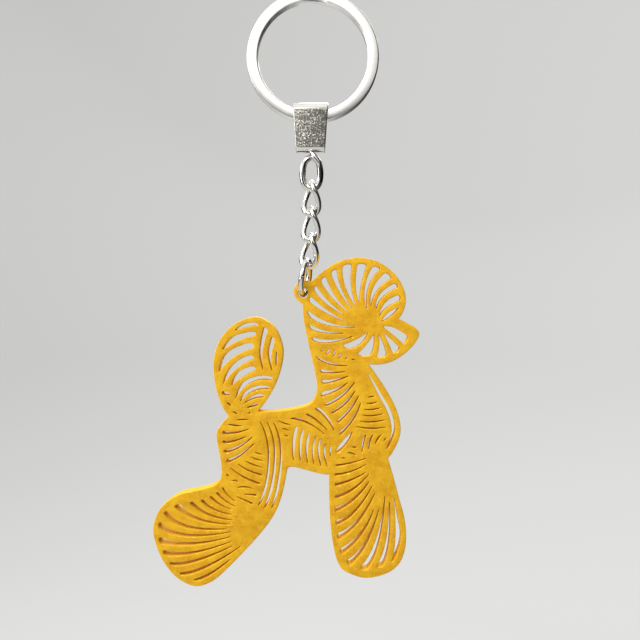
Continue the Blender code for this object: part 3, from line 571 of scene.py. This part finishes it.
RUMP_SLOTS = (
    ((-18.0, -31.3), (-15.1, -31.5), (-12.1, -30.9), (-15.1, -31.95), (-17.9, -32.1)),
    ((-18.0, -33.45), (-15.7, -33.45), (-12.7, -32.6), (-15.6, -33.85), (-17.9, -34.15)),
    ((-17.7, -35.6), (-14.8, -34.85), (-11.25, -32.7), (-14.6, -35.4), (-17.6, -36.3)),
    ((-17.1, -37.7), (-14.4, -36.7), (-10.9, -34.2), (-14.1, -37.15), (-17.0, -38.6)),
    ((-9.4, -43.0), (-13.0, -41.65), (-16.1, -39.75), (-13.3, -41.9), (-9.7, -43.5)),
    ((-9.1, -41.0), (-11.9, -40.15), (-14.4, -38.8), (-12.1, -40.45), (-9.2, -41.5)),
    ((-10.35, -45.55), (-11.5, -45.5), (-13.0, -45.6), (-11.5, -45.85), (-10.4, -46.05)),
    ((-11.2, -47.5), (-13.0, -46.75), (-14.8, -46.15), (-13.2, -47.0), (-11.4, -47.95)),
)
HIND_LEG_SLOTS = (
    ((-9.65, -48.0), (-8.05, -43.9), (-7.4, -38.0), (-7.9, -33.2), (-9.5, -29.2),
     (-8.2, -33.2), (-7.75, -38.0), (-8.5, -43.9), (-10.1, -48.3)),
    ((-8.1, -48.2), (-6.65, -43.9), (-6.0, -38.0), (-6.4, -33.4), (-7.9, -29.4),
     (-6.7, -33.4), (-6.4, -38.0), (-7.15, -43.9), (-8.75, -48.8)),
    ((-6.7, -48.4), (-5.4, -44.3), (-4.65, -38.0), (-5.0, -33.4), (-6.45, -29.5),
     (-5.3, -33.4), (-5.0, -38.0), (-5.85, -44.3), (-7.1, -48.9)),
)
PAW_SLOTS = (
    ((-17.8, -44.0), (-16.9, -45.5), (-15.2, -47.1), (-17.1, -45.7), (-18.1, -44.15)),
    ((-19.0, -45.15), (-17.3, -46.9), (-15.1, -48.3), (-17.6, -47.1), (-19.5, -45.3)),
    ((-20.5, -46.0), (-18.5, -47.7), (-16.0, -49.0), (-18.8, -48.0), (-21.0, -46.3)),
    ((-22.4, -46.7), (-19.9, -48.75), (-15.8, -50.2), (-20.2, -49.15), (-22.95, -47.1)),
    ((-24.6, -47.25), (-21.2, -49.85), (-15.7, -51.4), (-21.5, -50.35), (-25.5, -47.55)),
    ((-27.5, -47.8), (-23.3, -50.9), (-16.1, -52.35), (-23.6, -51.5), (-29.0, -48.35)),
    ((-30.3, -49.3), (-26.0, -52.5), (-17.2, -53.4), (-26.2, -53.2), (-31.4, -49.9)),
    ((-32.2, -51.7), (-26.0, -54.5), (-16.0, -54.05), (-26.0, -55.15), (-32.4, -53.2)),
    ((-32.3, -55.2), (-25.0, -56.4), (-16.3, -55.2), (-25.0, -57.05), (-32.1, -56.7)),
    ((-31.4, -58.1), (-25.0, -58.5), (-16.0, -56.25), (-25.0, -59.1), (-31.2, -59.3)),
    ((-30.0, -60.9), (-24.0, -60.2), (-15.9, -57.3), (-24.0, -60.9), (-29.4, -61.7)),
    ((-27.8, -63.3), (-21.5, -61.5), (-13.9, -57.3), (-21.4, -62.1), (-26.9, -63.9)),
    ((-24.7, -64.8), (-20.8, -63.2), (-16.3, -60.3), (-20.4, -63.6), (-23.6, -65.1)),
)
TAIL_SLOTS = (
    ((-10.1, -7.1), (-12.6, -7.1), (-15.1, -8.6), (-12.4, -7.9), (-10.1, -7.65)),
    ((-10.5, -9.1), (-12.6, -9.15), (-15.8, -10.2), (-18.0, -13.0), (-15.5, -11.5),
     (-13.0, -10.5), (-10.7, -10.0)),
    ((-11.2, -11.5), (-13.7, -12.0), (-17.4, -14.1), (-18.8, -18.0), (-16.6, -15.5),
     (-14.0, -13.85), (-11.1, -12.8)),
    ((-11.2, -14.25), (-13.9, -15.1), (-16.6, -17.5), (-17.9, -20.7), (-16.2, -18.5),
     (-13.6, -16.4), (-11.1, -15.3)),
    ((-11.1, -16.7), (-13.5, -17.5), (-15.1, -18.8), (-16.0, -21.1), (-14.5, -19.9),
     (-12.6, -18.7), (-10.5, -17.7)),
    ((-8.75, -7.85), (-9.5, -11.4), (-9.7, -14.1), (-8.9, -17.6), (-9.1, -14.1),
     (-8.65, -11.4), (-7.8, -8.5)),
    ((-6.85, -9.95), (-7.5, -12.2), (-7.75, -14.4), (-6.9, -17.7), (-7.15, -14.7),
     (-6.7, -12.6), (-6.25, -11.1)),
    ((-6.7, -19.3), (-9.75, -18.95), (-13.2, -20.3), (-15.1, -24.0), (-13.0, -21.4),
     (-10.0, -19.95), (-6.9, -20.1)),
    ((-7.5, -21.4), (-10.0, -21.15), (-12.5, -22.2), (-14.0, -24.6), (-12.2, -23.0),
     (-10.0, -22.1), (-7.6, -22.0)),
    ((-8.7, -23.25), (-10.7, -23.25), (-13.0, -25.0), (-10.8, -24.05), (-8.85, -23.9)),
    ((-10.0, -25.2), (-11.0, -25.3), (-12.4, -26.1), (-11.0, -25.85), (-10.1, -25.6)),
    ((-18.1, -22.4), (-17.3, -22.5), (-16.3, -23.1), (-17.1, -23.4), (-18.0, -23.1)),
)
FRONT_LEG_SLOTS = (
    ((7.5, -38.85), (10.6, -38.45), (14.3, -37.5), (10.7, -38.75), (7.55, -39.3)),
    ((7.3, -40.9), (10.8, -40.35), (14.3, -38.9), (10.9, -40.65), (7.35, -41.4)),
    ((7.3, -43.1), (10.8, -42.2), (14.2, -40.7), (10.9, -42.65), (7.4, -43.8)),
    ((7.35, -45.8), (11.3, -44.2), (15.05, -41.0), (11.4, -44.75), (7.4, -46.6)),
    ((7.35, -48.6), (11.5, -46.3), (15.05, -42.7), (11.8, -46.9), (7.45, -49.7)),
    ((7.55, -51.4), (11.6, -49.2), (15.7, -43.8), (12.0, -49.6), (7.65, -52.7)),
    ((7.9, -54.4), (12.2, -51.4), (16.3, -45.4), (12.6, -52.1), (8.1, -55.9)),
    ((8.5, -57.8), (12.75, -54.5), (16.05, -49.1), (13.2, -55.1), (8.8, -59.3)),
    ((9.9, -60.5), (13.9, -56.6), (17.2, -49.1), (14.4, -57.1), (10.6, -61.8)),
    ((12.8, -62.3), (16.5, -56.1), (18.6, -46.1), (17.3, -56.6), (14.6, -62.7)),
    ((16.6, -61.9), (18.8, -56.3), (19.65, -47.4), (19.6, -56.1), (18.2, -61.9)),
    ((19.9, -60.9), (20.85, -57.0), (20.95, -51.5), (20.7, -46.7), (21.6, -51.5),
     (22.2, -55.6), (20.9, -60.0)),
)
SLOT_GROUPS = (HEAD_SLOTS, MUZZLE_SLOTS, NECK_SLOTS, CHEST_SLOTS, BACK_SLOTS, BELLY_SLOTS,
               RUMP_SLOTS, HIND_LEG_SLOTS, PAW_SLOTS, TAIL_SLOTS, FRONT_LEG_SLOTS)

# fine slits: end, middle, end and the width at the middle
SLITS = (
    # between crown and muzzle
    ((17.9, -6.65), (19.75, -5.0), (21.65, -3.65), 1.0),
    # under the jaw
    ((4.3, -13.0), (4.35, -13.2), (4.35, -13.45), 0.35),
    ((6.1, -13.0), (5.85, -13.5), (5.5, -14.1), 0.55),
    ((7.5, -13.05), (7.25, -13.8), (6.9, -14.55), 0.4),
    ((8.8, -13.9), (8.55, -14.4), (8.25, -14.95), 0.45),
    ((9.95, -14.6), (9.9, -14.85), (9.8, -15.15), 0.4),
    ((11.1, -15.15), (11.4, -15.25), (11.8, -15.25), 0.25),
    # chest rungs
    ((14.85, -23.75), (15.5, -23.65), (16.25, -23.5), 0.28),
    ((14.5, -25.1), (15.7, -25.1), (16.85, -24.8), 0.28),
    ((14.0, -26.5), (15.8, -26.5), (17.65, -26.1), 0.3),
    ((13.55, -27.75), (15.8, -27.9), (18.2, -27.45), 0.3),
    ((13.0, -29.15), (15.8, -29.3), (18.7, -28.8), 0.32),
    ((12.15, -30.35), (15.6, -30.75), (18.9, -30.45), 0.34),
    ((17.85, -32.1), (16.95, -33.1), (16.45, -34.25), 0.35),
    ((18.8, -32.95), (18.6, -33.25), (18.45, -33.6), 0.28),
    # elbow
    ((11.2, -34.9), (11.65, -35.0), (12.15, -35.15), 0.28),
    ((10.2, -36.2), (11.1, -36.4), (12.05, -36.75), 0.32),
    ((8.85, -37.4), (9.25, -37.45), (9.7, -37.5), 0.25),
    # flank
    ((-5.2, -29.15), (-3.95, -29.65), (-2.7, -29.95), 0.3),
    ((-4.55, -30.8), (-3.8, -30.95), (-3.0, -31.25), 0.28),
    ((-4.0, -32.3), (-3.65, -32.4), (-3.25, -32.55), 0.25),
    ((3.0, -32.6), (2.4, -35.7), (2.6, -38.9), 0.28),
    ((5.3, -34.3), (4.95, -36.5), (5.65, -39.4), 0.28),
    ((6.4, -34.9), (6.3, -35.9), (6.3, -37.0), 0.32),
    # rump and thigh
    ((-14.9, -28.9), (-13.6, -28.8), (-12.2, -28.75), 0.28),
    ((-16.7, -29.85), (-15.1, -30.1), (-13.6, -30.2), 0.36),
    ((-12.8, -38.1), (-10.9, -39.0), (-8.9, -39.6), 0.32),
    ((-11.6, -37.2), (-10.25, -37.75), (-8.85, -38.05), 0.3),
    ((-10.6, -36.15), (-9.8, -36.45), (-8.95, -36.65), 0.28),
    # hock
    ((-17.2, -41.2), (-16.85, -41.3), (-16.55, -41.6), 0.35),
    ((-15.95, -42.6), (-15.25, -42.5), (-14.55, -42.75), 0.28),
    ((-14.6, -44.1), (-12.95, -43.95), (-11.25, -44.35), 0.36),
    # tail
    ((-5.85, -13.5), (-5.85, -15.1), (-5.95, -16.7), 0.32),
    ((-17.0, -24.95), (-16.55, -25.25), (-16.15, -25.75), 0.4),
    ((-15.6, -27.0), (-15.2, -27.2), (-14.65, -27.55), 0.32),
    ((-12.2, -27.4), (-11.95, -27.3), (-11.7, -27.15), 0.25),
)


def round_corner(corner, before, after, reach):
    """A short curve that cuts the corner between the points before and after it."""
    start = corner + (before - corner).normalized() * reach
    end = corner + (after - corner).normalized() * reach
    return [start.lerp(corner, t).lerp(corner.lerp(end, t), t) for t in (0, 0.25, 0.5, 0.75, 1)]


def slot_loop(points):
    """Closed edge of a tapered slot: narrow at its tip, rounded at its two root corners."""
    points = [Vector(point) for point in points]
    middle = len(points) // 2
    tip_side = (points[middle - 1] - points[middle + 1]).normalized() * SLOT_TIP
    far_tip = points[middle] + tip_side
    near_tip = points[middle] - tip_side
    far_side = smooth_run([*points[:middle], far_tip], EDGE_STEPS)
    near_side = smooth_run([near_tip, *points[middle + 1:]], EDGE_STEPS)
    root = points[0] - points[-1]
    outward = Vector((root.y, -root.x))
    if outward.dot(points[0] - points[1] + points[-1] - points[-2]) < 0:
        outward.negate()
    crown = (points[0] + points[-1]) / 2 + outward * SLOT_ROOT_BOW
    reach = min(SLOT_CORNER_R, SLOT_CORNER_LIMIT * root.length)
    clear = SLOT_CORNER_CLEAR * reach
    first = round_corner(points[0], crown, far_side[1], reach)
    last = round_corner(points[-1], near_side[-1], crown, reach)
    far_side = [point for point in far_side[1:] if (point - points[0]).length > clear]
    near_side = [point for point in near_side if (point - points[-1]).length > clear]
    return [crown] + first + far_side + [far_tip] + near_side + last


def slit_loop(first, middle, last, width):
    """Closed edge of a narrow leaf-shaped slit with blunt ends."""
    first = Vector(first)
    middle = Vector(middle)
    last = Vector(last)
    across = (last - first).orthogonal().normalized()
    side = across * width / 2
    end = across * SLIT_TIP
    out = smooth_run([first + end, middle + side, last + end], EDGE_STEPS) + [last + end]
    back = smooth_run([last - end, middle - side, first - end], EDGE_STEPS) + [first - end]
    return out + back


def build_poodle(low, high):
    curve = bpy.data.curves.new("poodle_outline", "CURVE")
    curve.dimensions = "2D"
    curve.fill_mode = "BOTH"
    curve.extrude = ((high.y - low.y) / 2 - CHARM_EDGE) * MM
    curve.bevel_depth = CHARM_EDGE * MM
    curve.offset = -CHARM_EDGE * MM
    curve.bevel_resolution = 3
    hole = Vector(EYELET_HOLE)
    outline = []
    for run in OUTLINE:
        outline += smooth_run([Vector(point) for point in run], EDGE_STEPS)
    eyelet = []
    for index in range(EYELET_POINTS):
        turn = math.tau * index / EYELET_POINTS
        eyelet.append(hole + EYELET_HOLE_R * Vector((math.cos(turn), math.sin(turn))))
    slots = [slot_loop(slot) for group in SLOT_GROUPS for slot in group]
    slits = [slit_loop(*slit) for slit in SLITS]
    for loop in [outline, eyelet, *slots, *slits]:
        spline = curve.splines.new("POLY")
        spline.points.add(len(loop) - 1)
        spline.use_cyclic_u = True
        for knot, point in zip(spline.points, loop):
            knot.co = (*(point * MM), 0, 1)
    shape = bpy.data.objects.new("poodle_outline", curve)
    bpy.context.scene.collection.objects.link(shape)
    bm = bmesh.new()
    bm.from_mesh(finished_mesh(shape))
    bpy.data.objects.remove(shape)
    bmesh.ops.scale(bm, vec=(1 / MM, 1 / MM, 1 / MM), verts=bm.verts)
    bmesh.ops.rotate(bm, matrix=Matrix.Rotation(math.pi / 2, 3, "X"), verts=bm.verts)
    bmesh.ops.translate(bm, vec=(CHARM_X, (low.y + high.y) / 2, CHARM_Z), verts=bm.verts)
    return mesh_piece("poodle_plate", bm, 20)


def gold_plastic():
    """Golden printed plastic: sparkling flakes, fine grain, and layer lines and painted light on
    the walls.
    """
    material, shader, link = start_material("glitter_gold_print", IOR=1.46, Specular_IOR_Level=0.25)
    coords = add_node(material, "ShaderNodeTexCoord")
    place = coords.outputs["Object"]
    facing = add_node(material, "ShaderNodeSeparateXYZ")
    link(coords.outputs["Normal"], facing.inputs["Vector"])
    flat = add_node(material, "ShaderNodeMath", operation="ABSOLUTE")
    link(facing.outputs["Y"], flat.inputs[0])
    mottle = add_node(material, "ShaderNodeTexNoise", Scale=MOTTLE_SCALE, Detail=4.0, Roughness=0.6)
    link(place, mottle.inputs["Vector"])
    patch = add_node(material, "ShaderNodeMapRange", From_Min=0.35, From_Max=0.65)
    link(mottle.outputs["Fac"], patch.inputs["Value"])
    face = add_node(material, "ShaderNodeMix", data_type="RGBA", A=(*GOLD_DEEP, 1),
                    B=(*GOLD_TOP, 1))
    link(patch.outputs["Result"], face.inputs["Factor"])
    # painted light: walls get the brighter, more orange gold and faces get the face colour, chosen
    # by how squarely each surface faces front or back
    body = add_node(material, "ShaderNodeMix", data_type="RGBA", A=(*GOLD_WALL_PAINTED_LIGHT, 1))
    link(flat.outputs[0], body.inputs["Factor"])
    link(face.outputs["Result"], body.inputs["B"])

    flakes = add_node(material, "ShaderNodeTexVoronoi", Scale=FLAKE_SCALE)
    link(place, flakes.inputs["Vector"])
    pick = add_node(material, "ShaderNodeSeparateColor")
    link(flakes.outputs["Color"], pick.inputs["Color"])
    bright = add_node(material, "ShaderNodeMapRange", From_Min=FLAKE_PICK[0],
                      From_Max=FLAKE_PICK[1])
    link(pick.outputs["Red"], bright.inputs["Value"])
    sparkle = add_node(material, "ShaderNodeMix", data_type="RGBA", B=(*FLAKE_COLOUR, 1))
    link(bright.outputs["Result"], sparkle.inputs["Factor"])
    link(body.outputs["Result"], sparkle.inputs["A"])
    link(sparkle.outputs["Result"], shader.inputs["Base Color"])
    metal = add_node(material, "ShaderNodeMapRange", To_Min=FLAKE_METALLIC[0],
                     To_Max=FLAKE_METALLIC[1])
    link(bright.outputs["Result"], metal.inputs["Value"])
    link(metal.outputs["Result"], shader.inputs["Metallic"])
    gloss = add_node(material, "ShaderNodeMapRange", To_Min=FLAKE_ROUGHNESS[0],
                     To_Max=FLAKE_ROUGHNESS[1])
    link(bright.outputs["Result"], gloss.inputs["Value"])
    link(gloss.outputs["Result"], shader.inputs["Roughness"])

    grain = add_node(material, "ShaderNodeTexNoise", Scale=PRINT_GRAIN_SCALE, Detail=2.0)
    link(place, grain.inputs["Vector"])
    surface = add_node(material, "ShaderNodeBump", Strength=0.5, Distance=0.05 * MM)
    link(grain.outputs["Fac"], surface.inputs["Height"])
    tilt = add_node(material, "ShaderNodeBump", Strength=0.25, Distance=0.06 * MM)
    link(pick.outputs["Green"], tilt.inputs["Height"])
    link(surface.outputs["Normal"], tilt.inputs["Normal"])
    layers = add_node(material, "ShaderNodeTexWave", Scale=WAVE_SCALE, bands_direction="Y")
    link(place, layers.inputs["Vector"])
    side = add_node(material, "ShaderNodeMath", operation="SUBTRACT")
    side.inputs[0].default_value = 1.0
    link(flat.outputs[0], side.inputs[1])
    ridge = add_node(material, "ShaderNodeMath", operation="MULTIPLY")
    link(layers.outputs["Fac"], ridge.inputs[0])
    link(side.outputs[0], ridge.inputs[1])
    stack = add_node(material, "ShaderNodeBump", Strength=0.8, Distance=0.05 * MM)
    link(ridge.outputs[0], stack.inputs["Height"])
    link(tilt.outputs["Normal"], stack.inputs["Normal"])
    link(stack.outputs["Normal"], shader.inputs["Normal"])
    return material


plate_low, plate_high = (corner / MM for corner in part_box("poodle_charm"))
poodle = build_poodle(plate_low, plate_high)
fit(poodle, gold_plastic(), "charm", "poodle_charm")

# Studio. A round surround of pale backlit paper, floor and wall in one, that looks the same from
# every side and keeps out of the reflections, and soft lights above, beside and behind the charm.
ROOM_R = 600.0
FLOOR_Z = -330.0
WALL_TOP_Z = 1600.0
FLOOR_BEND_R = 200.0
PAPER = (0.36, 0.36, 0.355)
PAPER_GLOW = 0.36
PAPER_LIGHT = (1.0, 1.0, 0.985)
CAMERA_AT = (2.77, -151.6, -65.8)
CAMERA_VIEW = math.radians(51.3)
CAMERA_SHIFT = (-0.0078, -0.0439)
CAMERA_NEAR = 0.005
LIGHT_AIM = (0, 0, -65)
AIR_BELOW = 1.3
AIR_BANDS = ((0.38, 1.2), (0.46, 0.08), (0.585, 0.10), (0.61, 1.6), (0.72, 1.9), (0.80, 1.3))
AIR_ABOVE = 2.0
AIR_SHADED_SIDE = 0.1
AIR_STRENGTH = 0.6

room_bm = bmesh.new()
hub = bmesh.ops.create_vert(room_bm, co=(0, 0, FLOOR_Z))["vert"]
rim = bmesh.ops.extrude_vert_indiv(room_bm, verts=hub)["verts"]
bmesh.ops.translate(room_bm, vec=(ROOM_R - FLOOR_BEND_R, 0, 0), verts=rim)
bent = bmesh.ops.spin(room_bm, geom=rim, cent=(ROOM_R - FLOOR_BEND_R, 0, FLOOR_Z + FLOOR_BEND_R),
                      axis=(0, 1, 0), angle=-math.pi / 2, steps=16, dvec=(0, 0, 0), use_merge=False,
                      use_normal_flip=False, use_duplicate=False)["geom_last"]
wall_foot = [item for item in bent if isinstance(item, bmesh.types.BMVert)]
wall_top = bmesh.ops.extrude_vert_indiv(room_bm, verts=wall_foot)["verts"]
bmesh.ops.translate(room_bm, vec=(0, 0, WALL_TOP_Z - FLOOR_Z - FLOOR_BEND_R), verts=wall_top)
bmesh.ops.spin(room_bm, geom=room_bm.verts[:] + room_bm.edges[:], cent=(0, 0, 0), axis=(0, 0, 1),
               angle=math.tau, steps=96, dvec=(0, 0, 0), use_merge=True,
               use_normal_flip=False, use_duplicate=False)
room = mesh_piece("studio_room", room_bm, 60)
paper, paper_shader, _ = start_material("studio_paper", Roughness=0.9, Emission_Strength=PAPER_GLOW)
paper_shader.inputs["Base Color"].default_value = (*PAPER, 1)
paper_shader.inputs["Emission Color"].default_value = (*PAPER_LIGHT, 1)
paper.cycles.emission_sampling = "NONE"
room.data.materials.append(paper)
room.visible_glossy = False
room.visible_diffuse = False
room.visible_shadow = False


def soft_light(name, place, size, power, colour):
    """An area light, turned toward the middle of the charm."""
    light = bpy.data.lights.new(name, "AREA")
    light.shape = "RECTANGLE"
    light.size, light.size_y = (side * MM for side in size)
    light.energy = power
    light.color = colour
    lamp = bpy.data.objects.new(name, light)
    lamp.location = Vector(place) * MM
    toward = Vector(LIGHT_AIM) * MM - lamp.location
    lamp.rotation_euler = toward.to_track_quat("-Z", "Y").to_euler()
    bpy.context.scene.collection.objects.link(lamp)


soft_light("overhead_softbox", place=(-130, -330, 250), size=(240, 160), power=1.4,
           colour=(1.0, 0.98, 0.94))
soft_light("side_softbox", place=(-420, -160, 20), size=(120, 260), power=0.6,
           colour=(1.0, 1.0, 1.0))
soft_light("back_softbox", place=(120, 380, 260), size=(300, 200), power=1.2,
           colour=(1.0, 1.0, 1.0))

world = bpy.data.worlds.new("studio_air")
world.use_nodes = True
join = world.node_tree.links.new
direction = add_node(world, "ShaderNodeTexCoord")
split = add_node(world, "ShaderNodeSeparateXYZ")
join(direction.outputs["Generated"], split.inputs["Vector"])
height = add_node(world, "ShaderNodeMapRange", From_Min=-1.0)
join(split.outputs["Z"], height.inputs["Value"])
bands = two_tone(world, 0.0, [AIR_BELOW] * 3, 1.0, [AIR_ABOVE] * 3)
for position, grey in AIR_BANDS:
    bands.color_ramp.elements.new(position).color = (grey, grey, grey, 1)
join(height.outputs["Result"], bands.inputs["Fac"])
lit_side = add_node(world, "ShaderNodeMapRange", From_Min=0.12, From_Max=0.6, To_Min=1.0,
                    To_Max=AIR_SHADED_SIDE)
join(split.outputs["X"], lit_side.inputs["Value"])
tinted = add_node(world, "ShaderNodeMix", data_type="RGBA", A=(0, 0, 0, 1))
join(lit_side.outputs["Result"], tinted.inputs["Factor"])
join(bands.outputs["Color"], tinted.inputs["B"])
air = world.node_tree.nodes["Background"]
air.inputs["Strength"].default_value = AIR_STRENGTH
join(tinted.outputs["Result"], air.inputs["Color"])
bpy.context.scene.world = world
bpy.context.scene.view_settings.view_transform = "Standard"

camera_data = bpy.data.cameras.new("camera")
camera_data.angle = CAMERA_VIEW
camera_data.shift_x, camera_data.shift_y = CAMERA_SHIFT
camera_data.clip_start = CAMERA_NEAR
camera = bpy.data.objects.new("camera", camera_data)
camera.location = Vector(CAMERA_AT) * MM
camera.rotation_euler = (math.pi / 2, 0, 0)
bpy.context.scene.collection.objects.link(camera)
bpy.context.scene.camera = camera
